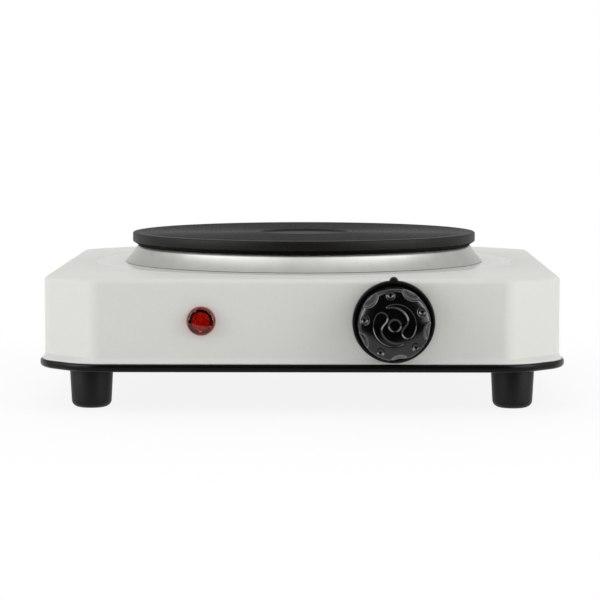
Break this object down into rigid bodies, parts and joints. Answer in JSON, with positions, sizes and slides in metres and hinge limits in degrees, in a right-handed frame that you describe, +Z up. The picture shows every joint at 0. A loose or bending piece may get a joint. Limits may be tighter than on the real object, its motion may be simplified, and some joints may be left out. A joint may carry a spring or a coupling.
{
  "type": "hot plate burner",
  "caption": "Single electric hot plate: grooved cast-iron plate in a satin ring on a square white steel housing, with a thermostat knob, a pilot lamp and feet.",
  "frame": {"origin": "on the table, at the middle of the overall box, knob and grommet included", "axes": "+Z up, out of the cooking surface; -Y towards the knob and the user; +X to the user's right"},
  "size_m": [0.2212, 0.243, 0.069],
  "materials": {
    "white_enamel": "gloss enamel on pressed steel",
    "black_enamel": "gloss black enamel on pressed steel",
    "zinc_steel": "zinc-plated steel",
    "satin_steel": "spun satin stainless steel",
    "cast_iron": "matt heat-resistant black on turned cast iron",
    "resistance_wire": "drawn nickel-chromium wire",
    "magnesia": "pressed matt powder",
    "ceramic": "unglazed steatite",
    "brass": "drawn, plain",
    "black_gloss": "moulded, polished",
    "black_plastic": "moulded, fine texture",
    "red_lens": "moulded, clear red",
    "bulb_glass": "clear",
    "white_plastic": "moulded",
    "grommet_rubber": "moulded, matt",
    "brown_lead": "extruded insulation",
    "blue_lead": "extruded insulation",
    "green_lead": "extruded insulation",
    "white_lead": "braided glass sleeve"
  },
  "bodies": {
    "appliance": {"housing_shell": "white_enamel", "corner_brackets": "zinc_steel", "base_pan": "black_enamel", "foot_front_left": "black_plastic", "foot_front_right": "black_plastic", "foot_rear_left": "black_plastic", "foot_rear_right": "black_plastic", "foot_screws": "zinc_steel", "hot_plate": "cast_iron", "heating_coil": "resistance_wire", "magnesia_bed": "magnesia", "magnesia_cap": "magnesia", "heater_cover": "zinc_steel", "terminal_bushings": "ceramic", "terminal_pins": "zinc_steel", "trim_ring": "satin_steel", "clamp_bridge": "zinc_steel", "centre_stud": "zinc_steel", "stud_washer": "zinc_steel", "stud_nuts": "zinc_steel", "thermostat_bracket": "zinc_steel", "spindle_bush": "brass", "stack_insulators": "ceramic", "stack_rivet": "zinc_steel", "contact_blade": "brass", "fixed_contact": "brass", "bimetal_strip": "zinc_steel", "transfer_pin": "ceramic", "thermostat_screws": "zinc_steel", "dial_ring": "black_gloss", "lamp_lens": "red_lens", "lamp_plug": "white_plastic", "neon_bulb": "bulb_glass", "lamp_push_nut": "zinc_steel", "cord_grommet": "grommet_rubber", "terminal_block": "white_plastic", "terminal_sleeves": "brass", "clamp_screws": "zinc_steel", "block_screws": "zinc_steel", "earth_lug": "brass", "earth_screw": "zinc_steel", "line_lead": "brown_lead", "switched_lead": "white_lead", "neutral_lead": "blue_lead", "earth_lead": "green_lead", "lamp_lead_inner": "white_lead", "lamp_lead_outer": "white_lead"},
    "knob": {"control_knob": "black_gloss", "spindle": "zinc_steel"},
    "pusher": {"pusher_bead": "ceramic"}
  },
  "joints": [
    {"name": "knob_turn", "type": "hinge", "parent": "appliance", "child": "knob", "pos_m": [0.038, -0.1015, 0.038], "axis": [0, 1, 0], "range_deg": [0, 296]},
    {"name": "pusher_feed", "type": "slide", "parent": "appliance", "child": "pusher", "axis": [0, 1, 0], "range_m": [0, 0.00083]}
  ],
  "couplings": [
    {"joint": "pusher_feed", "follows": "knob_turn", "m_per_rad": 0.00015915}
  ]
}
